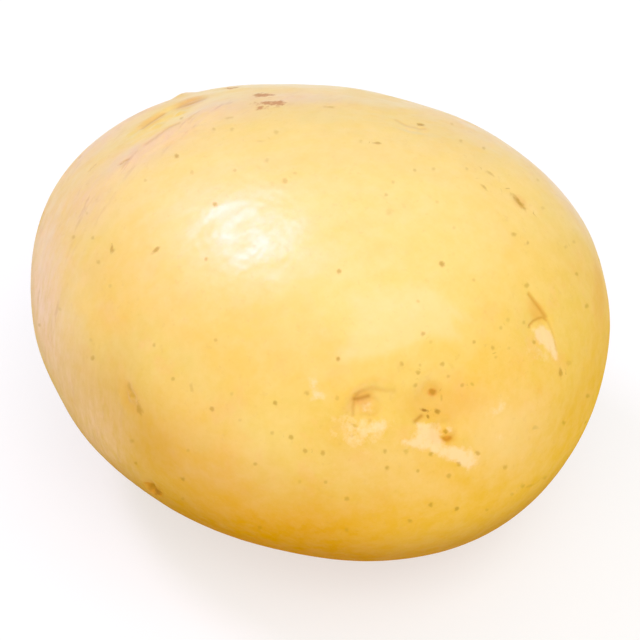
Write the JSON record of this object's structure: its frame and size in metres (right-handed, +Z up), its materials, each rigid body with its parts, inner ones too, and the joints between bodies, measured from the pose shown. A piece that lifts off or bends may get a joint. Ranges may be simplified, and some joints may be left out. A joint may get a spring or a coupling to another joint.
{
  "type": "potato",
  "caption": "Whole smooth yellow potato, a blunt oval tuber with shallow eyes and a stem scar, lying on a small flat spot.",
  "frame": {"origin": "under the middle of the potato's box, at the height of the flat spot it rests on", "axes": "+X along the potato towards the rose end with most eyes, +Z up from the surface it lies on"},
  "size_m": [0.0842, 0.0714, 0.06],
  "materials": {
    "skin": null
  },
  "bodies": {
    "root": {"potato": "skin"}
  },
  "joints": []
}
